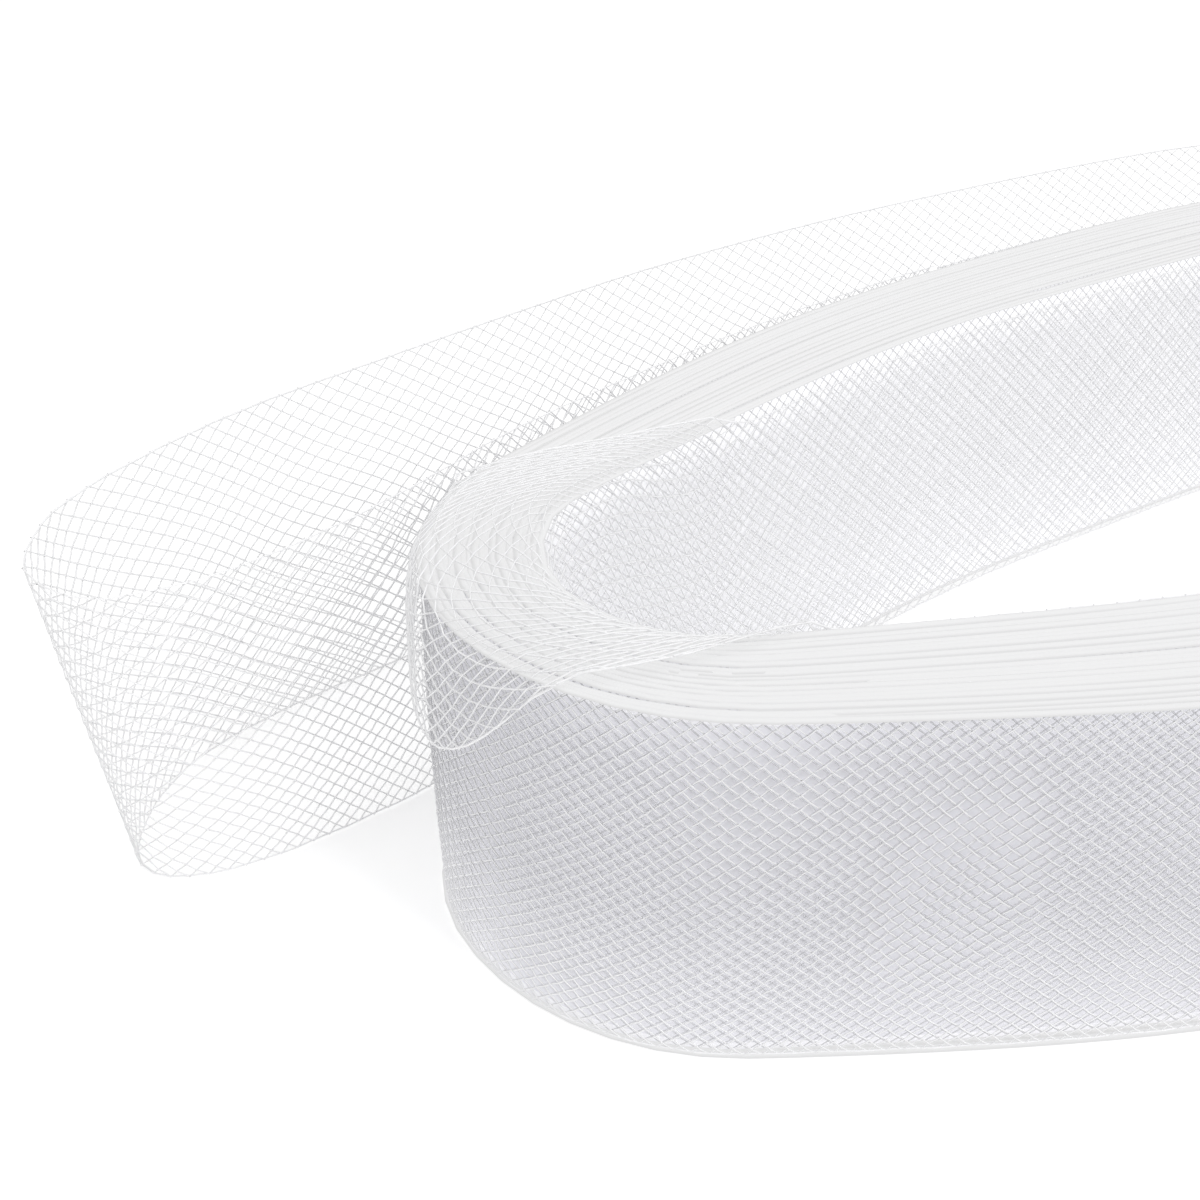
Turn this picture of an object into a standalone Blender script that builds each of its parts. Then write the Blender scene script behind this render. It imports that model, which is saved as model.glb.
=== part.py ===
# Roll of horsehair braid: an open nylon mesh tape wound edge-up into a long flattened oval hank.
# The last turn has sprung loose at one end, where it stands out as a teardrop loop.
# Metres, +Z up, +X along the long axis of the roll, resting on the lower selvages at Z = 0.
import bpy
import bmesh
from math import atan2, cos, exp, hypot, pi, sin, sqrt

TAPE_WIDTH = 0.050          # the tape stands on edge, so this is the height of the roll
TAPE_SOLID = 0.0012         # thickness given to the single loose turn
CLEARANCE = 0.0004          # gap between the loose turn and the roll

# The wound wall lies between two ovals, each of arcs. near is the -Y side and far the +Y side:
# half_length to the tips, half the width on each side, and the radius of the tips on each side
INNER_OVAL = {"half_length": 0.179, "near_half": 0.053, "near_tip": 0.022, "far_half": 0.043, "far_tip": 0.015}
OUTER_OVAL = {"half_length": 0.195, "near_half": 0.078, "near_tip": 0.040, "far_half": 0.066, "far_tip": 0.030}

ROLL_STATIONS = 132         # sections round the roll
TIP_CROWDING = 0.6          # share by which sections crowd together at the two tight ends
FAR_LEAN = 0.004            # how far the top of the +Y side leans outwards
WALL_WAVE = 0.0007          # unevenness of the wound wall
BELLY = 0.0006              # slight swelling of the wall at mid height

# Turns lie in groups across the wall, from the inner face (0) to the outer face (1)
TURN_GROUPS = [
    {"inner": 0.00, "outer": 0.16, "height": 0.0488},
    {"inner": 0.16, "outer": 0.38, "height": 0.0498},
    {"inner": 0.38, "outer": 0.60, "height": 0.0491},
    {"inner": 0.60, "outer": 0.82, "height": 0.0500},
    {"inner": 0.82, "outer": 1.00, "height": 0.0495},
]
GROOVE_HALF_WIDTH = 0.035   # as a share of the wall
GROOVE_DEPTH = 0.0010       # where the turns lie tight
LOOSE_END_DEPTH = 0.0035    # added where the turns have opened at the -X end
LOOSE_END_REACH = 0.060     # how far along the roll that opening runs
RIM_WAVE = 0.0004

# The loose turn, from where it leaves the roll, out to the fold, and back along the far side.
# foot: where the lower selvage stands; lean: how far the upper selvage stands out from it
LOOSE_TURN = [
    {"foot": (-0.1500, 0.0418), "lean": (0.0000, 0.0042)},
    {"foot": (-0.1680, 0.0362), "lean": (0.0005, 0.0034)},
    {"foot": (-0.1853, 0.0308), "lean": (0.0015, 0.0008)},
    {"foot": (-0.2010, 0.0280), "lean": (0.0010, -0.0028)},
    {"foot": (-0.2130, 0.0271), "lean": (-0.0015, -0.0050)},
    {"foot": (-0.2220, 0.0286), "lean": (-0.0050, -0.0050)},
    {"foot": (-0.2266, 0.0322), "lean": (-0.0062, -0.0015)},
    {"foot": (-0.2272, 0.0368), "lean": (-0.0052, 0.0015)},
    {"foot": (-0.2225, 0.0460), "lean": (-0.0035, 0.0025)},
    {"foot": (-0.2125, 0.0545), "lean": (0.0005, 0.0035)},
    {"foot": (-0.1957, 0.0601), "lean": (0.0005, 0.0064)},
    {"foot": (-0.1753, 0.0640), "lean": (0.0000, 0.0100)},
    {"foot": (-0.1430, 0.0715), "lean": (0.0000, 0.0135)},
    {"foot": (-0.1090, 0.0795), "lean": (0.0000, 0.0150)},
    {"foot": (-0.0610, 0.0868), "lean": (0.0000, 0.0155)},
    {"foot": (0.0000, 0.0905), "lean": (0.0000, 0.0158)},
    {"foot": (0.0420, 0.0896), "lean": (0.0000, 0.0145)},
    {"foot": (0.0850, 0.0795), "lean": (0.0010, 0.0110)},
    {"foot": (0.1250, 0.0610), "lean": (0.0010, 0.0055)},
]
ROOT_FROM, ROOT_TO = 0.330, 0.3955      # stretch of the roll's outline that the root lies against
END_FROM, END_TO = 0.0440, 0.0100       # stretch that the cut end lies against
ROOT_STEPS, END_STEPS, SPAN_STEPS = 6, 8, 5
SHEET_ROWS = 4


def mix(a, b, t):
    return a + (b - a) * t


def wall_oval(share):
    """The oval at this share of the way from the inner face of the wall to the outer one."""
    return {key: mix(INNER_OVAL[key], OUTER_OVAL[key], share) for key in INNER_OVAL}


def oval_point(oval, turn):
    """Point and outward normal at a share of the way round: 0 is the +X tip, 0.25 the +Y side."""
    quarter, along = divmod((turn % 1.0) * 4.0, 1.0)
    side = "far" if quarter < 2 else "near"
    a, b, r = oval["half_length"], oval[side + "_half"], oval[side + "_tip"]
    side_radius = (a * a + b * b - 2 * a * r) / (2 * (b - r))
    join = atan2(side_radius - b, a - r)
    tip_arc, side_arc = r * join, side_radius * (pi / 2 - join)
    if quarter % 2:
        along = 1.0 - along
    run = along * (tip_arc + side_arc)
    if run < tip_arc:
        angle = run / r
        x, y = a - r + r * cos(angle), r * sin(angle)
    else:
        angle = join + (run - tip_arc) / side_radius
        x, y = side_radius * cos(angle), side_radius * sin(angle) - (side_radius - b)
    flip_x = -1 if quarter in (1, 2) else 1
    flip_y = -1 if quarter in (2, 3) else 1
    return flip_x * x, flip_y * y, flip_x * cos(angle), flip_y * sin(angle)


def wall_point(share, height, turn):
    """A point of the wound wall, with its lean, its belly and its unevenness."""
    x, y, nx, ny = oval_point(wall_oval(share), turn)
    up = height / TAPE_WIDTH
    side = 2 * share - 1
    out = WALL_WAVE * sin(2 * pi * (3 * turn + 0.1 * share)) + 0.5 * WALL_WAVE * sin(2 * pi * (8 * turn + 0.3))
    out += side * BELLY * 4 * up * (1 - up)
    lean = FAR_LEAN * max(0.0, ny) ** 2 * up
    return x + nx * out, y + ny * out + lean, height


def station_turn(step):
    """Sections crowd together at the two tips, where the outline is tight."""
    even = step / ROLL_STATIONS
    return even - TIP_CROWDING * sin(4 * pi * even) / (4 * pi)


def roll_section(turn):
    """One closed loop round the wall: up the outer face, across the grouped rims, down the inner face."""
    tip_distance = hypot(*(p - q for p, q in zip(oval_point(OUTER_OVAL, turn)[:2], oval_point(OUTER_OVAL, 0.5)[:2])))
    depth = GROOVE_DEPTH + LOOSE_END_DEPTH * exp(-(tip_distance / LOOSE_END_REACH) ** 2)
    loop = [wall_point(1.0, 0.0, turn), wall_point(1.0, TAPE_WIDTH / 2, turn)]
    groups = TURN_GROUPS[::-1]
    for number, group in enumerate(groups):
        wave = RIM_WAVE * sin(2 * pi * (2 * turn + 0.37 * number))
        outer = group["outer"] - (GROOVE_HALF_WIDTH if number else 0.0)
        inner = group["inner"] + (GROOVE_HALF_WIDTH if number < len(groups) - 1 else 0.0)
        loop.append(wall_point(outer, group["height"] + wave, turn))
        loop.append(wall_point(inner, group["height"] + wave, turn))
        if number < len(groups) - 1:
            loop.append(wall_point(group["inner"], group["height"] - depth, turn))
    loop += [wall_point(0.0, TAPE_WIDTH / 2, turn), wall_point(0.0, 0.0, turn)]
    return loop


def smooth_value(before, start, end, after, t):
    """Catmull-Rom value between start and end."""
    return 0.5 * (2 * start + (end - before) * t + (2 * before - 5 * start + 4 * end - after) * t * t
                  + (3 * start - before - 3 * end + after) * t ** 3)


def resting_line(turn):
    """Foot and lean of the tape where it lies against the outer face of the roll."""
    x, y, nx, ny = oval_point(OUTER_OVAL, turn)
    off = CLEARANCE + BELLY + WALL_WAVE * 1.5 + TAPE_SOLID / 2
    return x + nx * off, y + ny * off, 0.0, FAR_LEAN * max(0.0, ny) ** 2


def loose_path():
    """Rows of foot x, foot y, lean x, lean y along the whole loose turn."""
    rows = [(*row["foot"], *row["lean"]) for row in LOOSE_TURN]
    root = [resting_line(mix(ROOT_FROM, ROOT_TO, k / ROOT_STEPS)) for k in range(ROOT_STEPS + 1)]
    end = [resting_line(mix(END_FROM, END_TO, k / END_STEPS)) for k in range(END_STEPS + 1)]
    knots = [root[-2], root[-1]] + rows + [end[0], end[1]]
    path = root[:-1]
    for before, start, stop, after in zip(knots, knots[1:], knots[2:], knots[3:]):
        for step in range(SPAN_STEPS):
            t = step / SPAN_STEPS
            path.append(tuple(smooth_value(*values, t) for values in zip(before, start, stop, after)))
    return path + end


def sheet_sections(path):
    """Closed loops across the tape at each row of the path, at right angles to the run of its foot."""
    sections = []
    for number, (x, y, lean_x, lean_y) in enumerate(path):
        back = path[max(number - 1, 0)]
        ahead = path[min(number + 1, len(path) - 1)]
        run_x, run_y = ahead[0] - back[0], ahead[1] - back[1]
        length = hypot(run_x, run_y)
        out_x, out_y = run_y / length * TAPE_SOLID / 2, -run_x / length * TAPE_SOLID / 2
        top = sqrt(TAPE_WIDTH ** 2 - lean_x ** 2 - lean_y ** 2)
        rise = [row / SHEET_ROWS for row in range(SHEET_ROWS + 1)]
        front = [(x + lean_x * k + out_x, y + lean_y * k + out_y, top * k) for k in rise]
        rear = [(x + lean_x * k - out_x, y + lean_y * k - out_y, top * k) for k in rise]
        sections.append(front + rear[::-1])
    return sections


def loft(name, sections, ring, material, collection):
    """A closed solid through like sections, joined end to end or capped at both ends."""
    mesh = bpy.data.meshes.new(name)
    work = bmesh.new()
    loops = [[work.verts.new(point) for point in section] for section in sections]
    pairs = list(zip(loops, loops[1:])) + ([(loops[-1], loops[0])] if ring else [])
    for first, second in pairs:
        for k in range(len(first)):
            after = (k + 1) % len(first)
            work.faces.new((first[k], first[after], second[after], second[k]))
    if not ring:
        work.faces.new(loops[0])
        work.faces.new(loops[-1])
    bmesh.ops.triangulate(work, faces=work.faces[:])
    bmesh.ops.recalc_face_normals(work, faces=work.faces[:])
    work.to_mesh(mesh)
    work.free()
    mesh.materials.append(material)
    piece = bpy.data.objects.new(name, mesh)
    collection.objects.link(piece)
    return piece


def nylon(name, color, roughness):
    material = bpy.data.materials.new(name)
    material.use_nodes = True
    shader = material.node_tree.nodes["Principled BSDF"]
    shader.inputs["Base Color"].default_value = (*color, 1.0)
    shader.inputs["Roughness"].default_value = roughness
    shader.inputs["Metallic"].default_value = 0.0
    return material


def centre_on_floor(pieces):
    """Puts the middle of the whole footprint on the Z axis."""
    corners = [vertex.co for piece in pieces for vertex in piece.data.vertices]
    middle = [(min(c[k] for c in corners) + max(c[k] for c in corners)) / 2 for k in (0, 1)]
    for piece in pieces:
        for vertex in piece.data.vertices:
            vertex.co.x -= middle[0]
            vertex.co.y -= middle[1]


def main():
    for old in list(bpy.data.objects):
        bpy.data.objects.remove(old)
    collection = bpy.data.collections.new("horsehair_braid_roll")
    bpy.context.scene.collection.children.link(collection)
    bulk = nylon("wound_nylon", (0.86, 0.86, 0.88), 0.45)
    single = nylon("single_nylon", (0.92, 0.92, 0.93), 0.35)
    roll = loft("wound_roll", [roll_section(station_turn(k)) for k in range(ROLL_STATIONS)], True, bulk, collection)
    loose = loft("loose_turn", sheet_sections(loose_path()), False, single, collection)
    centre_on_floor([roll, loose])


main()
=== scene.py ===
# A roll of horsehair braid: open nylon mesh tape, wound on edge, its last turn sprung loose.
from math import atan2, cos, hypot, pi, radians, sin, sqrt

import bpy
import numpy as np
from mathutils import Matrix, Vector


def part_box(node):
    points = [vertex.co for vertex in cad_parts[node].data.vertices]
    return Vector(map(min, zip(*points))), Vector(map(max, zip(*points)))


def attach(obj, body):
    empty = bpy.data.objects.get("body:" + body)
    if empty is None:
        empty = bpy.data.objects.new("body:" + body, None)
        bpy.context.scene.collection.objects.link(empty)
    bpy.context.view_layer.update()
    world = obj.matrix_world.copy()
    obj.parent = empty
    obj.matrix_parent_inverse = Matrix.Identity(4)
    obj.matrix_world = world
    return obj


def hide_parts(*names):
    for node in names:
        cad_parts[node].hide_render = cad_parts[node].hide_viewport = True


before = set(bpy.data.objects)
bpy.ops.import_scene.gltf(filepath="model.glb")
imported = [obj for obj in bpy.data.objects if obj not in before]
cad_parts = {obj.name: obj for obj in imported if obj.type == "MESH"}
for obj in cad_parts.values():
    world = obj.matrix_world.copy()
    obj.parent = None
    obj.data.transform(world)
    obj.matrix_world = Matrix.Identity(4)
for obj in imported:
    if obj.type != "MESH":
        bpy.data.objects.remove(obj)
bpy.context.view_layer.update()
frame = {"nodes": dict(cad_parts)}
print("frame loaded:", ", ".join(frame["nodes"]))


# The tape, in metres as everything here is
tape = {
    "width": 0.050,
    "weave": 0.00009,        # how far a thread rides over or under at a crossing
    "slur": 0.0007,          # how far handling has pulled the diamonds out of line
}
# The mesh of each part of the tape. rows: thread crossings across the width. thread: radius. cell: length of
# one diamond along the tape, which goes over to drawnCell between the places drawnFrom and drawnTo.
tightMesh = {
    "rows": 52, "thread": 0.00011,
    "cell": 0.00212, "drawnCell": 0.00212, "drawnFrom": 0.0, "drawnTo": 1.0,
}
easedMesh = {
    "rows": 40, "thread": 0.000128,
    "cell": 0.00290, "drawnCell": 0.00290, "drawnFrom": 0.0, "drawnTo": 1.0,
}
looseMesh = {
    "rows": 40, "thread": 0.000128,
    "cell": 0.00240, "drawnCell": 0.00360, "drawnFrom": 0.13, "drawnTo": 0.24,
}


def mix(a, b, t):
    return a + (b - a) * t


# A strip is the tape as it lies: rows along it, each a line of points from one selvage to the other.
# run is each row's place along the flat tape, in metres.
def makeStrip(run, rows):
    return {"run": np.array(run, dtype=float), "rows": np.array(rows, dtype=float)}


def arcRun(points):
    steps = np.linalg.norm(np.diff(np.array(points, dtype=float), axis=0), axis=1)
    return np.concatenate([[0.0], np.cumsum(steps)])


# Points u metres along a strip, at v as a share of its width
def stripPoint(strip, u, v):
    run, rows = strip["run"], strip["rows"]
    i = np.clip(np.searchsorted(run, u, side="right") - 1, 0, len(run) - 2)
    a = np.clip((u - run[i]) / np.maximum(run[i + 1] - run[i], 1e-9), 0.0, 1.0)[:, None]
    across = np.clip(v, 0.0, 1.0) * (rows.shape[1] - 1)
    j = np.minimum(across.astype(int), rows.shape[1] - 2)
    b = (across - j)[:, None]
    here = rows[i, j] * (1 - b) + rows[i, j + 1] * b
    ahead = rows[i + 1, j] * (1 - b) + rows[i + 1, j + 1] * b
    return here * (1 - a) + ahead * a


def stripNormal(strip, u, v):
    aside, up = 0.0012, 0.05  # in metres along the tape, and as a share of its width
    along = stripPoint(strip, u + aside, v) - stripPoint(strip, u - aside, v)
    across = stripPoint(strip, u, v + up) - stripPoint(strip, u, v - up)
    normal = np.cross(along, across)
    return normal / np.maximum(np.linalg.norm(normal, axis=1), 1e-12)[:, None]


# Handling pulls the diamonds out of line in two slow waves, and leaves the selvages where they are
def slurred(u, v):
    wander = np.sin(2 * pi * u / 0.083 + 2.2 * v) + 0.6 * np.sin(2 * pi * u / 0.031 - 3.1 * v + 1.0)
    return u + tape["slur"] * wander * np.sin(pi * np.clip(v, 0, 1))


def meshObject(name, points, quads, material):
    mesh = bpy.data.meshes.new(name)
    mesh.vertices.add(len(points))
    mesh.vertices.foreach_set("co", np.asarray(points, dtype=np.float32).ravel())
    mesh.loops.add(len(quads) * 4)
    mesh.loops.foreach_set("vertex_index", np.asarray(quads, dtype=np.int32).ravel())
    mesh.polygons.add(len(quads))
    mesh.polygons.foreach_set("loop_start", np.arange(0, len(quads) * 4, 4, dtype=np.int32))
    mesh.polygons.foreach_set("use_smooth", np.ones(len(quads), dtype=bool))
    mesh.update(calc_edges=True)
    mesh.materials.append(material)
    piece = bpy.data.objects.new(name, mesh)
    bpy.context.scene.collection.objects.link(piece)
    return piece


# Tubes round many lines at once. first marks where each line starts in the list of centres. radius holds
# the half sizes along the tape's width and out of its face.
def tubeMesh(centres, normals, first, radius, sides):
    last = np.roll(first, -1)
    ahead = np.where(last[:, None], centres, np.roll(centres, -1, axis=0))
    back = np.where(first[:, None], centres, np.roll(centres, 1, axis=0))
    tangent = ahead - back
    tangent /= np.maximum(np.linalg.norm(tangent, axis=1), 1e-12)[:, None]
    side = np.cross(tangent, normals)
    side /= np.maximum(np.linalg.norm(side, axis=1), 1e-12)[:, None]
    up = np.cross(side, tangent)
    wide, high = (np.broadcast_to(half, len(centres))[:, None] for half in radius)
    rings = [centres + side * (wide * cos(t)) + up * (high * sin(t))
             for t in (2 * pi * (k + 0.25) / sides for k in range(sides))]
    points = np.stack(rings, axis=1).reshape(-1, 3)
    starts = np.nonzero(~last)[0]
    k = np.arange(sides)
    near, far = starts[:, None] * sides + k, starts[:, None] * sides + (k + 1) % sides
    quads = np.stack([near, near + sides, far + sides, far], axis=-1).reshape(-1, 4)
    return points, quads


# The lines that run along the two selvages of a stretch
selvage = {
    "places": (0.003, 0.997),  # across the tape, as shares of its width
    "tall": 0.00015,
    "thick": 0.00012,
    "step": 0.0028,
    "ripple": 0.00010,
    "rippleLength": 0.0091,
}


def selvageTubes(strip, start, stop, lines=selvage):
    count = max(int((stop - start) / lines["step"]), 2)
    along = np.linspace(start, stop, count + 1)
    u = np.tile(along, len(lines["places"]))
    v = np.repeat(lines["places"], count + 1)
    first = np.tile(np.arange(count + 1) == 0, len(lines["places"]))
    normals = stripNormal(strip, u, v)
    ripple = lines["ripple"] * np.sin(u * 2 * pi / selvage["rippleLength"] + v * 9.0)
    centres = stripPoint(strip, u, v) + normals * ripple[:, None]
    thick = np.interp(u, strip["run"], lines["thick"]) if np.ndim(lines["thick"]) else lines["thick"]
    return tubeMesh(centres, normals, first, (lines["tall"], thick), 4)


# Where each whole diamond of a mesh begins along the strip
def cellPlaces(strip, weave):
    margin = 0.1  # the first and last diamonds lean in from outside the strip
    along = np.linspace(-margin, strip["run"][-1] + margin, 1200)
    t = np.clip((along - weave["drawnFrom"]) / (weave["drawnTo"] - weave["drawnFrom"]), 0.0, 1.0)
    cell = mix(weave["cell"], weave["drawnCell"], t * t * (3 - 2 * t))
    count = np.concatenate([[0.0], np.cumsum(np.diff(along) / (0.5 * (cell[1:] + cell[:-1])))])
    return along, count


# The woven diamonds of one stretch of tape, as real threads over and under each other
def braidThreads(name, strip, start, stop, weave, material):
    rows, sides = weave["rows"], 3
    along, count = cellPlaces(strip, weave)
    firstCell, lastCell = np.interp((start, stop), along, count).astype(int)
    uParts, vParts, liftParts, firstParts = [], [], [], []
    step = np.arange(rows + 1)
    for lean in (1, -1):
        reach = rows // 2 + 1
        for number in range(firstCell - reach, lastCell + reach):
            u = np.interp(number + lean * step / 2, count, along)
            keep = np.nonzero((u >= start) & (u <= stop))[0]
            if len(keep) < 2:
                continue
            uParts.append(u[keep])
            vParts.append(step[keep] / rows)
            liftParts.append(np.where(step[keep] % 2 == 0, lean, -lean) * tape["weave"])
            firstParts.append(np.arange(len(keep)) == 0)
    u, v = np.concatenate(uParts), np.concatenate(vParts)
    first = np.concatenate(firstParts)
    u = np.clip(slurred(u, v), start, stop)
    normals = stripNormal(strip, u, v)
    centres = stripPoint(strip, u, v) + normals * np.concatenate(liftParts)[:, None]
    points, quads = tubeMesh(centres, normals, first, (weave["thread"], weave["thread"]), sides)
    edgePoints, edgeQuads = selvageTubes(strip, start, stop)
    points = np.concatenate([points, edgePoints])
    quads = np.concatenate([quads, edgeQuads + len(u) * sides])
    return meshObject(name, points, quads, material)


# The wound roll. inner and outer are the ovals at the two faces of the wall: half the length, and for the
# near and the far side the half width and the radius at the tips.
roll = {
    "inner": {"halfLength": 0.179, "nearHalf": 0.053, "nearTip": 0.022, "farHalf": 0.043, "farTip": 0.015},
    "outer": {"halfLength": 0.195, "nearHalf": 0.078, "nearTip": 0.040, "farHalf": 0.066, "farTip": 0.030},
    "farLean": 0.004,        # how far the top of the far side leans out
    "wave": 0.0007,          # how far the wall wanders in and out along its length
    "belly": 0.0006,         # how far its faces stand out halfway up
    "flutter": 0.00018,      # how far each turn wanders between its neighbours
    "turns": 22,
    "firstAngle": 0.08,      # where the inner end lies, as a share of the way round from the +X tip
    "lastAngle": 0.33,       # where the tape leaves the roll
    "firstShare": 0.012,     # how far across the wall the inner end lies
    "lastShare": 0.988,
    "crowding": 0.0015,
    "rimSink": 0.0003,
    "rimWander": 0.00008,
    "rowsATurn": 168,
}
roll["spin"] = roll["turns"] - 1 + roll["lastAngle"] - roll["firstAngle"]  # turns from end to end


# Where the oval at this share across the wall stands, this part of the way round, and which way it faces:
# a tight arc round each tip and a wide one along each side
def ovalPoint(share, turn):
    oval = {key: mix(roll["inner"][key], roll["outer"][key], share) for key in roll["inner"]}
    quarter, along = divmod((turn % 1.0) * 4.0, 1.0)
    side = "far" if quarter < 2 else "near"
    a, b, r = oval["halfLength"], oval[side + "Half"], oval[side + "Tip"]
    sideRadius = (a * a + b * b - 2 * a * r) / (2 * (b - r))
    join = atan2(sideRadius - b, a - r)
    tipArc, sideArc = r * join, sideRadius * (pi / 2 - join)
    if quarter % 2:
        along = 1.0 - along
    run = along * (tipArc + sideArc)
    if run < tipArc:
        angle = run / r
        x, y = a - r + r * cos(angle), r * sin(angle)
    else:
        angle = join + (run - tipArc) / sideRadius
        x, y = sideRadius * cos(angle), sideRadius * sin(angle) - (sideRadius - b)
    flipX = -1 if quarter in (1, 2) else 1
    flipY = -1 if quarter in (2, 3) else 1
    return flipX * x, flipY * y, flipX * cos(angle), flipY * sin(angle)


def wallPoint(share, height, turn, off=0.0):
    x, y, nx, ny = ovalPoint(share, turn)
    up = height / tape["width"]
    out = roll["wave"] * (sin(2 * pi * (3 * turn + 0.1 * share)) + 0.5 * sin(2 * pi * (8 * turn + 0.3)))
    out += (2 * share - 1) * roll["belly"] * 4 * up * (1 - up) + off
    lean = roll["farLean"] * max(0.0, ny) ** 2 * up
    return np.array((x + nx * out + rollShift[0], y + ny * out + lean + rollShift[1], height))


rollShift = (0.0, 0.0)
outline = np.array([wallPoint(1.0, 0.0, k / 400) for k in range(400)])
rollLow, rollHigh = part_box("wound_roll")
outlineLow, outlineHigh = outline.min(axis=0), outline.max(axis=0)
rollShift = tuple((rollLow[k] + rollHigh[k]) / 2 - (outlineLow[k] + outlineHigh[k]) / 2 for k in (0, 1))
print("roll placed at", [round(value, 4) for value in rollShift])

rims = [  # turns lie in groups across the wall, each group's rim at its own height
    {"upTo": 0.16, "height": 0.0495},
    {"upTo": 0.38, "height": 0.0498},
    {"upTo": 0.60, "height": 0.0496},
    {"upTo": 0.82, "height": 0.0498},
    {"upTo": 1.01, "height": 0.0497},
]


def rimHeight(share, turn, number):
    group = next(row for row in rims if share <= row["upTo"])
    wander = roll["rimWander"] * sin(2.4 * number + 2 * pi * 2 * turn) * sin(1.7 * number)
    return group["height"] - roll["rimSink"] + wander


def wallThickness(turn):
    return float(np.linalg.norm(wallPoint(1.0, 0.0, turn) - wallPoint(0.0, 0.0, turn)))


# Share across the wall where turn number lies; the turns crowd a little within each group
def turnShare(number):
    even = number / roll["spin"]
    return mix(roll["firstShare"], roll["lastShare"], even) + roll["crowding"] * sin(2 * pi * even * 5)


def rolledRow(number, heights=5):
    angle = roll["firstAngle"] + number
    share = turnShare(number)
    top = rimHeight(share, angle, number)
    flutter = roll["flutter"] * sin(2 * pi * angle * 5 + 1.9 * number)
    return [wallPoint(share, top * k / (heights - 1), angle, flutter) for k in range(heights)]


def rolledStrip(fromNumber, toNumber, rowsATurn):
    count = int((toNumber - fromNumber) * rowsATurn) + 1
    numbers = np.linspace(fromNumber, toNumber, count)
    rows = [rolledRow(number) for number in numbers]
    strip = makeStrip(arcRun([row[0] for row in rows]), rows)
    strip["numbers"] = numbers
    return strip


# The innermost turn, which has ridden up over the left end of the wall
rider = {
    "toe": 0.0315,           # height of its hanging selvage at the very end of the roll
    "middle": 0.495,         # where round the roll it hangs lowest
    "nearReach": 0.052,      # how far round the roll it takes to slide back inside, as a share
    "farReach": 0.070,
    "off": 0.0009,
    "rimLevel": 0.0502,
    "hemLow": 0.0016,        # how far below the rim its lower selvage starts inside
    "slack": 0.0012,         # width taken up in the bends over the rim
    "lowest": 0.0005,
    "around": 0.97,          # how far round the roll it goes
    "points": 25,
    "softening": 3,          # how many times its bends over the rim are eased
}


# A point on the wall's skin, q metres up the outer face, over the rim and down the inner face
def skinPoint(turn, q, off):
    rimLevel = rider["rimLevel"]
    outer, inner = wallPoint(1.0, rimLevel, turn), wallPoint(0.0, rimLevel, turn)
    thick = float(np.linalg.norm(outer - inner))
    if q < rimLevel:
        return wallPoint(1.0, q, turn, off)
    if q < rimLevel + thick:
        point = mix(outer, inner, (q - rimLevel) / thick)
        point[2] = rimLevel + off
        return point
    return wallPoint(0.0, max(rimLevel - (q - rimLevel - thick), rider["lowest"]), turn, -off)


def riderRow(angle):
    turn = angle % 1.0
    outer, inner = wallPoint(1.0, tape["width"], turn), wallPoint(0.0, tape["width"], turn)
    home = rider["rimLevel"] + float(np.linalg.norm(outer - inner)) + rider["hemLow"]
    away = turn - rider["middle"]
    reach = rider["nearReach"] if away > 0 else rider["farReach"]
    slide = 0.5 + 0.5 * cos(pi * min(abs(away) / reach, 1.0))
    start = mix(home, rider["toe"], slide)
    spots = np.linspace(start, start + tape["width"] - rider["slack"], rider["points"])
    raw = np.array([skinPoint(turn, q, rider["off"]) for q in spots])
    soft = raw.copy()
    for sweep in range(rider["softening"]):
        soft[1:-1] = 0.25 * soft[:-2] + 0.5 * soft[1:-1] + 0.25 * soft[2:]
    return soft[::-1]


def innerStrip():
    count = roll["rowsATurn"] * 2
    angles = np.linspace(roll["firstAngle"], roll["firstAngle"] + rider["around"], count)
    even = [wallPoint(0.0, 0.0, angle) for angle in angles]
    return makeStrip(arcRun(even), [riderRow(angle) for angle in angles])


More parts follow.
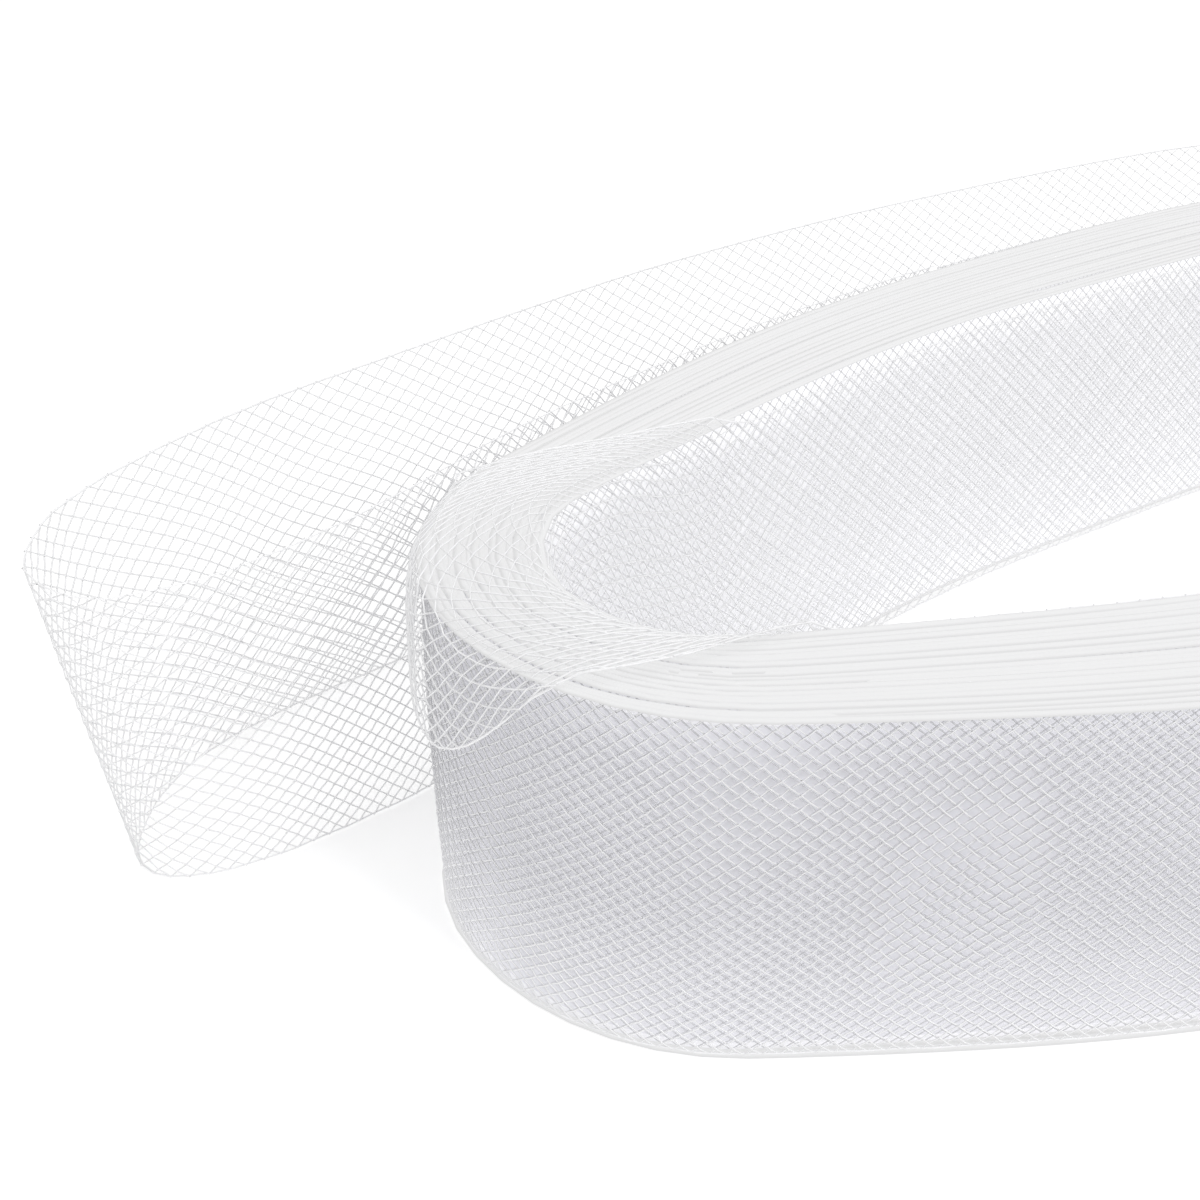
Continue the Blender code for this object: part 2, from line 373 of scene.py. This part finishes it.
# The loose turn: where it lies against the roll at its root and its end, and between them the line of its
# foot and how far its top leans from it
looseTurn = {
    "rootFrom": 0.330, "rootTo": 0.3955, "endFrom": 0.0440, "endTo": 0.0100,
    "rootSteps": 6, "endSteps": 8, "spanSteps": 5,
    "off": 0.00265,
    "rootOff": 0.0008,       # it grows out of the outermost turn
    "footLift": 0.0002,      # room for the thickness of its lower selvage
    "topSink": 0.0004,
    "rows": [
        {"foot": (-0.1500, 0.0418), "lean": (0.0000, 0.0042)},
        {"foot": (-0.1680, 0.0362), "lean": (0.0005, 0.0034)},
        {"foot": (-0.1853, 0.0308), "lean": (0.0015, 0.0008)},
        {"foot": (-0.2010, 0.0280), "lean": (0.0010, -0.0028)},
        {"foot": (-0.2130, 0.0271), "lean": (-0.0015, -0.0050)},
        {"foot": (-0.2220, 0.0286), "lean": (-0.0050, -0.0050)},
        {"foot": (-0.2266, 0.0322), "lean": (-0.0062, -0.0015)},
        {"foot": (-0.2272, 0.0368), "lean": (-0.0052, 0.0015)},
        {"foot": (-0.2225, 0.0460), "lean": (-0.0035, 0.0025)},
        {"foot": (-0.2125, 0.0545), "lean": (0.0005, 0.0035)},
        {"foot": (-0.1957, 0.0601), "lean": (0.0005, 0.0064)},
        {"foot": (-0.1753, 0.0640), "lean": (0.0000, 0.0100)},
        {"foot": (-0.1430, 0.0715), "lean": (0.0000, 0.0135)},
        {"foot": (-0.1090, 0.0795), "lean": (0.0000, 0.0150)},
        {"foot": (-0.0610, 0.0868), "lean": (0.0000, 0.0155)},
        {"foot": (0.0000, 0.0905), "lean": (0.0000, 0.0158)},
        {"foot": (0.0420, 0.0896), "lean": (0.0000, 0.0145)},
        {"foot": (0.0850, 0.0795), "lean": (0.0010, 0.0110)},
        {"foot": (0.1250, 0.0610), "lean": (0.0010, 0.0055)},
    ],
}


# A smooth curve from start to end that knows the values before and after them
def smoothValue(before, start, end, after, t):
    return 0.5 * (2 * start + (end - before) * t + (2 * before - 5 * start + 4 * end - after) * t * t
                  + (3 * start - before - 3 * end + after) * t ** 3)


def restingLine(turn, off):
    x, y, nx, ny = ovalPoint(1.0, turn)
    return x + nx * off, y + ny * off, 0.0, roll["farLean"] * max(0.0, ny) ** 2


def looseStrip():
    rows = [(*row["foot"], *row["lean"]) for row in looseTurn["rows"]]
    rootSteps, endSteps, spanSteps = looseTurn["rootSteps"], looseTurn["endSteps"], looseTurn["spanSteps"]
    root = [restingLine(mix(looseTurn["rootFrom"], looseTurn["rootTo"], k / rootSteps),
                        mix(looseTurn["rootOff"], looseTurn["off"], k / rootSteps))
            for k in range(rootSteps + 1)]
    end = [restingLine(mix(looseTurn["endFrom"], looseTurn["endTo"], k / endSteps), looseTurn["off"])
           for k in range(endSteps + 1)]
    knots = [root[-2], root[-1]] + rows + [end[0], end[1]]
    path = root[:-1]
    for near in zip(knots, knots[1:], knots[2:], knots[3:]):
        for step in range(spanSteps):
            path.append(tuple(smoothValue(*values, step / spanSteps) for values in zip(*near)))
    feet, tops = [], []
    for x, y, leanX, leanY in path + end:
        foot = np.array((x + rollShift[0], y + rollShift[1], looseTurn["footLift"]))
        rise = sqrt(tape["width"] ** 2 - leanX ** 2 - leanY ** 2) - looseTurn["topSink"]
        top = np.array((leanX, leanY, rise))
        feet.append(foot)
        tops.append(foot + top)
    return makeStrip(arcRun(feet), [[foot, top] for foot, top in zip(feet, tops)])


footReach = 0.026  # how far up the painted glow near the floor reaches


def newNode(tree, kind, place, **values):
    node = tree.nodes.new(kind)
    node.location = place
    for key, value in values.items():
        setattr(node, key, value)
    return node


floatSocket, colourSocket = "NodeSocketFloat", "NodeSocketColor"


# A group with its entry and exit nodes; takes and gives are its sockets as (name, kind)
def newGroup(name, takes, gives, entryPlace, leavePlace):
    group = bpy.data.node_groups.new(name, "ShaderNodeTree")
    for way, sockets in (("INPUT", takes), ("OUTPUT", gives)):
        for label, kind in sockets:
            group.interface.new_socket(name=label, in_out=way, socket_type=kind)
    entry = newNode(group, "NodeGroupInput", entryPlace)
    leave = newNode(group, "NodeGroupOutput", leavePlace)
    return group, entry, leave


# Large soft clouds of tone where the nylon is denser or handled, a fine break-up of the gloss, and a painted
# glow standing in for the light that the nylon passes on, painted stronger near the foot where the pale
# floor lights it
def handlingAndPaintedGlowGroup():
    takes = (("Pale", colourSocket), ("Shade", colourSocket), ("Cloud Size", floatSocket),
             ("Gloss Low", floatSocket), ("Gloss High", floatSocket), ("Glow", colourSocket),
             ("Foot Glow", floatSocket))
    gives = (("Color", colourSocket), ("Roughness", floatSocket), ("Light", colourSocket))
    group, entry, leave = newGroup("handlingAndPaintedGlow", takes, gives, (-700, 0), (500, 0))
    place = newNode(group, "ShaderNodeTexCoord", (-700, 260))
    clouds = newNode(group, "ShaderNodeTexNoise", (-420, 260))
    clouds.inputs["Detail"].default_value = 3.0
    tone = newNode(group, "ShaderNodeMix", (120, 200), data_type="RGBA")
    fine = newNode(group, "ShaderNodeTexNoise", (-420, -160))
    fine.inputs["Scale"].default_value = 900.0
    gloss = newNode(group, "ShaderNodeMapRange", (120, -160))
    link = group.links.new
    link(place.outputs["Object"], clouds.inputs["Vector"])
    link(place.outputs["Object"], fine.inputs["Vector"])
    link(entry.outputs["Cloud Size"], clouds.inputs["Scale"])
    link(clouds.outputs["Fac"], tone.inputs["Factor"])
    link(entry.outputs["Shade"], tone.inputs["A"])
    link(entry.outputs["Pale"], tone.inputs["B"])
    link(fine.outputs["Fac"], gloss.inputs["Value"])
    link(entry.outputs["Gloss Low"], gloss.inputs["To Min"])
    link(entry.outputs["Gloss High"], gloss.inputs["To Max"])
    link(tone.outputs["Result"], leave.inputs["Color"])
    link(gloss.outputs["Result"], leave.inputs["Roughness"])
    # painted light: the glow is raised towards the foot, as if lit by the floor
    height = newNode(group, "ShaderNodeSeparateXYZ", (-420, -420))
    foot = newNode(group, "ShaderNodeMapRange", (-160, -420), interpolation_type="SMOOTHSTEP")
    foot.inputs["From Max"].default_value = footReach
    foot.inputs["To Max"].default_value = 0.0
    light = newNode(group, "ShaderNodeVectorMath", (260, -420), operation="ADD")
    link(place.outputs["Object"], height.inputs["Vector"])
    link(height.outputs["Z"], foot.inputs["Value"])
    link(entry.outputs["Foot Glow"], foot.inputs["To Min"])
    link(entry.outputs["Glow"], light.inputs[0])
    link(foot.outputs["Result"], light.inputs[1])
    link(light.outputs["Vector"], leave.inputs["Light"])
    return group


# The diamonds of the braid drawn on a sheet whose UV map is in metres: where a thread is, and how high
def braidGroup():
    takes = tuple((label, floatSocket) for label in ("Cell", "Thread", "Selvage", "Haze", "Rim"))
    gives = tuple((label, floatSocket) for label in ("Threads", "Cover", "Height"))
    group, entry, leave = newGroup("braid", takes, gives, (-1100, 0), (900, 0))
    flat = newNode(group, "ShaderNodeUVMap", (-1100, 300), uv_map="tape")
    split = newNode(group, "ShaderNodeSeparateXYZ", (-900, 300))
    link = group.links.new
    link(flat.outputs["UV"], split.inputs["Vector"])

    def mathNode(kind, one, two, place):
        node = newNode(group, "ShaderNodeMath", place, operation=kind)
        for socket, value in zip(node.inputs, (one, two)):
            if isinstance(value, (int, float)):
                socket.default_value = value
            else:
                link(value, socket)
        return node.outputs[0]

    cells = mathNode("DIVIDE", split.outputs["X"], entry.outputs["Cell"], (-700, 380))
    rise = mathNode("MULTIPLY", split.outputs["Y"], tightMesh["rows"] / 2 / tape["width"], (-700, 200))
    covers = []
    for number, kind in enumerate(("SUBTRACT", "ADD")):
        row = 380 - 240 * number
        along = mathNode(kind, cells, rise, (-500, row))
        whole = mathNode("FRACT", along, 0, (-340, row))
        centred = mathNode("SUBTRACT", whole, 0.5, (-180, row))
        gap = mathNode("ABSOLUTE", centred, 0, (-20, row))
        solid = newNode(group, "ShaderNodeMapRange", (140, row), interpolation_type="SMOOTHSTEP")
        solid.inputs["From Min"].default_value = 0.5
        link(gap, solid.inputs["Value"])
        threadEdge = mathNode("SUBTRACT", 0.5, entry.outputs["Thread"], (-20, row - 140))
        link(threadEdge, solid.inputs["From Max"])
        solid.inputs["To Min"].default_value = 1.0
        solid.inputs["To Max"].default_value = 0.0
        covers.append(solid.outputs["Result"])
    threads = mathNode("MAXIMUM", covers[0], covers[1], (320, 260))
    both = mathNode("ADD", covers[0], covers[1], (320, 100))
    offMiddle = mathNode("SUBTRACT", split.outputs["Y"], tape["width"] / 2, (-500, -200))
    fromMiddle = mathNode("ABSOLUTE", offMiddle, 0, (-340, -200))
    edgeStart = mathNode("SUBTRACT", tape["width"] / 2, entry.outputs["Selvage"], (-340, -360))
    edge = mathNode("GREATER_THAN", fromMiddle, edgeStart, (-180, -200))
    solids = mathNode("MAXIMUM", threads, edge, (480, 200))
    link(solids, leave.inputs["Threads"])
    link(both, leave.inputs["Height"])
    rim = newNode(group, "ShaderNodeMapRange", (140, -240), interpolation_type="SMOOTHSTEP")
    rim.inputs["From Max"].default_value = tape["width"] / 2
    link(fromMiddle, rim.inputs["Value"])
    link(mathNode("SUBTRACT", tape["width"] / 2, entry.outputs["Rim"], (-20, -400)), rim.inputs["From Min"])
    link(entry.outputs["Haze"], rim.inputs["To Min"])
    link(mathNode("MAXIMUM", solids, rim.outputs["Result"], (680, 200)), leave.inputs["Cover"])
    return group


# Lit and shaded copies of one nylon: the pale and shade of each piece are set lighter or darker to paint the
# light or shade where it lies, and glow and footGlow are painted light, a glow standing in for light passed
# on through the nylon. The rims are mostly painted glow over a dark base, which flattens their shading into
# a milky band.
finishesAndPaintedLight = {
    "loose": {
        "pale": (0.86, 0.86, 0.87), "shade": (0.78, 0.78, 0.79), "cloud": 18.0, "gloss": (0.26, 0.40),
        "glow": 0.08, "footGlow": 0.0,
    },
    "outer": {
        "pale": (0.75, 0.75, 0.76), "shade": (0.67, 0.67, 0.685), "cloud": 18.0, "gloss": (0.30, 0.44),
        "glow": 0.09, "footGlow": 0.14,
    },
    "inner": {
        "pale": (0.66, 0.66, 0.67), "shade": (0.60, 0.60, 0.612), "cloud": 18.0, "gloss": (0.34, 0.48),
        "glow": 0.25, "footGlow": 0.0,
    },
    "rims": {
        "pale": (0.27, 0.27, 0.275), "shade": (0.24, 0.24, 0.245), "cloud": 24.0, "gloss": (0.60, 0.75),
        "glow": 0.56, "footGlow": 0.0,
    },
    "wound": {
        "pale": (0.91, 0.91, 0.93), "shade": (0.83, 0.83, 0.865), "cloud": 14.0, "gloss": (0.34, 0.52),
        "glow": 0.0, "footGlow": 0.05,
    },
}
# Turns seen through turns: how much of the gaps they fill, their outside painted darker as shade and their
# inside painted paler as light, and a painted glow on each side standing in for the light that the nylon
# passes on
haze = {
    "cover": 0.55,
    "rim": 0.008,            # how near to a selvage the turns close up
    "outside": (0.72, 0.72, 0.76),
    "inside": (0.90, 0.90, 0.915),
    "outsideGlow": (0.145, 0.144, 0.151),
    "insideGlow": (0.235, 0.235, 0.238),
}
drawnWeave = {"thread": 0.080, "selvage": 0.0012, "height": 0.0002}  # the mesh drawn on the middle turns
nylonShine = {"ior": 1.53, "specular": 0.45}

handlingAndPaintedGlow = handlingAndPaintedGlowGroup()
braid = braidGroup()


def nylon(name, finishAndPaintedLight):
    material = bpy.data.materials.new(name)
    material.use_nodes = True
    tree = material.node_tree
    shader = tree.nodes["Principled BSDF"]
    shader.inputs["IOR"].default_value = nylonShine["ior"]
    shader.inputs["Specular IOR Level"].default_value = nylonShine["specular"]
    # painted light: an even glow standing in for light passed on through the nylon
    shader.inputs["Emission Color"].default_value = (*[finishAndPaintedLight["glow"]] * 3, 1.0)
    shader.inputs["Emission Strength"].default_value = 1.0
    marksAndPaintedGlow = newNode(tree, "ShaderNodeGroup", (-320, 120))
    marksAndPaintedGlow.node_tree = handlingAndPaintedGlow
    marksAndPaintedGlow.inputs["Pale"].default_value = (*finishAndPaintedLight["pale"], 1.0)
    marksAndPaintedGlow.inputs["Shade"].default_value = (*finishAndPaintedLight["shade"], 1.0)
    marksAndPaintedGlow.inputs["Cloud Size"].default_value = finishAndPaintedLight["cloud"]
    marksAndPaintedGlow.inputs["Gloss Low"].default_value, marksAndPaintedGlow.inputs["Gloss High"].default_value = finishAndPaintedLight["gloss"]
    tree.links.new(marksAndPaintedGlow.outputs["Color"], shader.inputs["Base Color"])
    tree.links.new(marksAndPaintedGlow.outputs["Roughness"], shader.inputs["Roughness"])
    # painted light: the glow is made stronger near the foot
    if finishAndPaintedLight["footGlow"]:
        marksAndPaintedGlow.inputs["Glow"].default_value = (*[finishAndPaintedLight["glow"]] * 3, 1.0)
        marksAndPaintedGlow.inputs["Foot Glow"].default_value = finishAndPaintedLight["footGlow"]
        tree.links.new(marksAndPaintedGlow.outputs["Light"], shader.inputs["Emission Color"])
    return material


# The sheet of the middle turns: the drawn mesh, and between its threads what shows of the turns behind,
# painted darker on the outer face and paler on the inner face
def woundNylon(name, finishAndPaintedLight):
    material = nylon(name, finishAndPaintedLight)
    tree = material.node_tree
    shader, marksAndPaintedGlow = tree.nodes["Principled BSDF"], tree.nodes["Group"]
    pattern = newNode(tree, "ShaderNodeGroup", (-620, -200))
    pattern.node_tree = braid
    pattern.inputs["Cell"].default_value = tightMesh["cell"]
    pattern.inputs["Thread"].default_value = drawnWeave["thread"]
    pattern.inputs["Selvage"].default_value = drawnWeave["selvage"]
    pattern.inputs["Haze"].default_value = haze["cover"]
    pattern.inputs["Rim"].default_value = haze["rim"]
    # painted light and shade: by which face is seen, the outer face is painted darker and the inner face
    # paler and glowing more
    side = newNode(tree, "ShaderNodeNewGeometry", (-900, 260))
    litOrShadedHaze = newNode(tree, "ShaderNodeMix", (-620, 260), data_type="RGBA")
    litOrShadedHaze.inputs["A"].default_value = (*haze["outside"], 1.0)
    litOrShadedHaze.inputs["B"].default_value = (*haze["inside"], 1.0)
    glow = newNode(tree, "ShaderNodeMix", (-620, 40), data_type="RGBA")
    glow.inputs["A"].default_value = (*haze["outsideGlow"], 1.0)
    glow.inputs["B"].default_value = (*haze["insideGlow"], 1.0)
    tree.links.new(side.outputs["Backfacing"], glow.inputs["Factor"])
    tree.links.new(glow.outputs["Result"], marksAndPaintedGlow.inputs["Glow"])
    colour = newNode(tree, "ShaderNodeMix", (-160, 200), data_type="RGBA")
    tree.links.new(side.outputs["Backfacing"], litOrShadedHaze.inputs["Factor"])
    tree.links.new(litOrShadedHaze.outputs["Result"], colour.inputs["A"])
    tree.links.new(marksAndPaintedGlow.outputs["Color"], colour.inputs["B"])
    tree.links.new(pattern.outputs["Threads"], colour.inputs["Factor"])
    tree.links.new(colour.outputs["Result"], shader.inputs["Base Color"])
    bump = newNode(tree, "ShaderNodeBump", (-320, -300))
    bump.inputs["Distance"].default_value = drawnWeave["height"]
    tree.links.new(pattern.outputs["Height"], bump.inputs["Height"])
    tree.links.new(bump.outputs["Normal"], shader.inputs["Normal"])
    tree.links.new(pattern.outputs["Cover"], shader.inputs["Alpha"])
    return material


looseNylon = nylon("loose_braid_nylon", finishesAndPaintedLight["loose"])
outerNylon = nylon("outer_turn_nylon", finishesAndPaintedLight["outer"])
innerNylon = nylon("inner_turn_nylon", finishesAndPaintedLight["inner"])
selvageNylon = nylon("rim_nylon", finishesAndPaintedLight["rims"])
turnNylon = woundNylon("wound_braid", finishesAndPaintedLight["wound"])
print("finishes made")


# What a piece rides on, and the solids it stands for, which are hidden
def fixPiece(piece, nodes):
    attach(piece, "root")
    if nodes:
        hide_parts(*nodes)


rimRibs = {
    "share": 0.55,           # half width as a share of the room between turns, with spare added
    "spare": 0.00018,
    "from": 0.35,            # how many turns in from either end the rims start
    "places": (0.0005, 0.9995),
    "tall": 0.00013,
    "step": 0.0055,
    "ripple": 0.0,
}


# The turns between the innermost and the outermost, one long sheet wound up from flat
def woundSheet():
    strip = rolledStrip(1.0, roll["spin"] - 1.0, roll["rowsATurn"])
    across = strip["rows"].shape[1]
    count = len(strip["run"])
    bpy.ops.object.select_all(action="DESELECT")
    bpy.ops.mesh.primitive_grid_add(x_subdivisions=count - 1, y_subdivisions=across - 1, size=1,
                                    calc_uvs=True)
    piece = bpy.context.object
    piece.name = piece.data.name = "middle_turns"
    flat = np.empty(len(piece.data.vertices) * 3)
    piece.data.vertices.foreach_get("co", flat)
    flat = flat.reshape(-1, 3)
    i = np.rint((flat[:, 0] + 0.5) * (count - 1)).astype(int)
    j = np.rint((flat[:, 1] + 0.5) * (across - 1)).astype(int)
    piece.data.vertices.foreach_set("co", strip["rows"][i, j].astype(np.float32).ravel())
    layer = piece.data.uv_layers[0]
    layer.name = "tape"
    corners = np.empty(len(piece.data.loops), dtype=np.int32)
    piece.data.loops.foreach_get("vertex_index", corners)
    metres = np.stack([strip["run"][i], j / (across - 1) * tape["width"]], axis=1)
    layer.data.foreach_set("uv", metres[corners].astype(np.float32).ravel())
    piece.data.materials.append(turnNylon)
    piece.data.shade_smooth()
    piece.data.update()
    edge = rolledStrip(rimRibs["from"], roll["spin"] - rimRibs["from"], roll["rowsATurn"])
    walls = np.array([wallThickness(roll["firstAngle"] + number) for number in edge["numbers"]])
    lines = dict(rimRibs, thick=rimRibs["share"] * walls / roll["spin"] + rimRibs["spare"])
    rims = meshObject("middle_selvages", *selvageTubes(edge, 0.0, edge["run"][-1], lines), selvageNylon)
    fixPiece(rims, ())
    fixPiece(piece, ("wound_roll",))
    return strip


middle = woundSheet()
print("middle turns wound:", round(float(middle["run"][-1]), 2), "m")


def turnPieces(name, strip, weave, material, parts, nodes):
    length = float(strip["run"][-1])
    for number in range(parts):
        start, stop = length * number / parts, length * (number + 1) / parts
        label = f"{name}_{number + 1}" if parts > 1 else name
        threads = braidThreads(label, strip, start, stop, weave, material)
        fixPiece(threads, nodes)
        print(label, "woven:", round(stop - start, 3), "m,", len(threads.data.polygons) * 2, "triangles")


outerStrip = rolledStrip(roll["spin"] - 1.0, roll["spin"], roll["rowsATurn"] * 2)
turnPieces("outer_turn", outerStrip, tightMesh, outerNylon, 2, ("wound_roll",))
turnPieces("inner_turn", innerStrip(), easedMesh, innerNylon, 2, ("wound_roll",))
turnPieces("loose_braid", looseStrip(), looseMesh, looseNylon, 1, ("loose_turn",))


# Floor, soft light and camera
studio = {
    "floorSize": 2.6,
    "floorGlow": 0.32,
    "floorWhite": 0.80,
    "skyForLight": 0.68,     # strength of the white all round, other than where it is seen
    "topLight": {"size": 1.3, "at": (-0.15, 0.05, 1.1), "watts": 5.0},
    "sideLight": {"size": 0.5, "at": (0.40, -1.45, 0.95), "watts": 9.0},
}
view = {
    "behind": (-0.2463, -0.1303), "height": 0.139, "tilt": 32.0, "heading": 29.0,
    "lens": 44.2, "sensor": 36, "clip": 0.005,
}


def addFloor():
    bpy.ops.object.select_all(action="DESELECT")
    bpy.ops.mesh.primitive_plane_add(size=studio["floorSize"], location=(0, 0, -0.0004))
    floor = bpy.context.object
    floor.name = "floor"
    material = bpy.data.materials.new("floor_white")
    material.use_nodes = True
    shader = material.node_tree.nodes["Principled BSDF"]
    shader.inputs["Base Color"].default_value = (*[studio["floorWhite"]] * 3, 1.0)
    shader.inputs["Specular IOR Level"].default_value = 0.0
    shader.inputs["Roughness"].default_value = 1.0
    shader.inputs["Emission Color"].default_value = (1.0, 1.0, 1.0, 1.0)
    shader.inputs["Emission Strength"].default_value = studio["floorGlow"]
    floor.data.materials.append(material)


def addLights():
    world = bpy.data.worlds.new("studio")
    bpy.context.scene.world = world
    world.use_nodes = True
    tree = world.node_tree
    background = tree.nodes["Background"]
    path = newNode(tree, "ShaderNodeLightPath", (-500, 200))
    strength = newNode(tree, "ShaderNodeMapRange", (-240, 100))
    strength.inputs["To Min"].default_value = studio["skyForLight"]
    strength.inputs["To Max"].default_value = 1.0
    tree.links.new(path.outputs["Is Camera Ray"], strength.inputs["Value"])
    tree.links.new(strength.outputs["Result"], background.inputs["Strength"])
    background.inputs["Color"].default_value = (1.0, 1.0, 1.0, 1.0)
    for name in ("topLight", "sideLight"):
        box = studio[name]
        x, y, z = box["at"]
        turned = (0, atan2(hypot(x, y), z), atan2(y, x))
        bpy.ops.object.light_add(type="AREA", location=box["at"], rotation=turned)
        light = bpy.context.object
        light.name = name
        light.data.shape = "SQUARE"
        light.data.size = box["size"]
        light.data.energy = box["watts"]


def addCamera():
    bpy.ops.object.camera_add(location=(view["behind"][0] + rollShift[0], view["behind"][1] + rollShift[1],
                                        view["height"]),
                              rotation=(radians(90 - view["tilt"]), 0, -radians(view["heading"])))
    camera = bpy.context.object
    camera.name = "camera"
    camera.data.lens = view["lens"]
    camera.data.sensor_width = view["sensor"]
    camera.data.clip_start = view["clip"]
    camera.data.dof.use_dof = False
    bpy.context.scene.camera = camera


addFloor()
addLights()
addCamera()
bpy.context.scene.cycles.transparent_max_bounces = 14  # sight passes through many turns of open mesh
bpy.context.scene.cycles.max_bounces = 4
bpy.context.scene.cycles.diffuse_bounces = 2
bpy.context.scene.view_settings.view_transform = "Standard"
bpy.context.scene.view_settings.look = "None"
print("stage set")
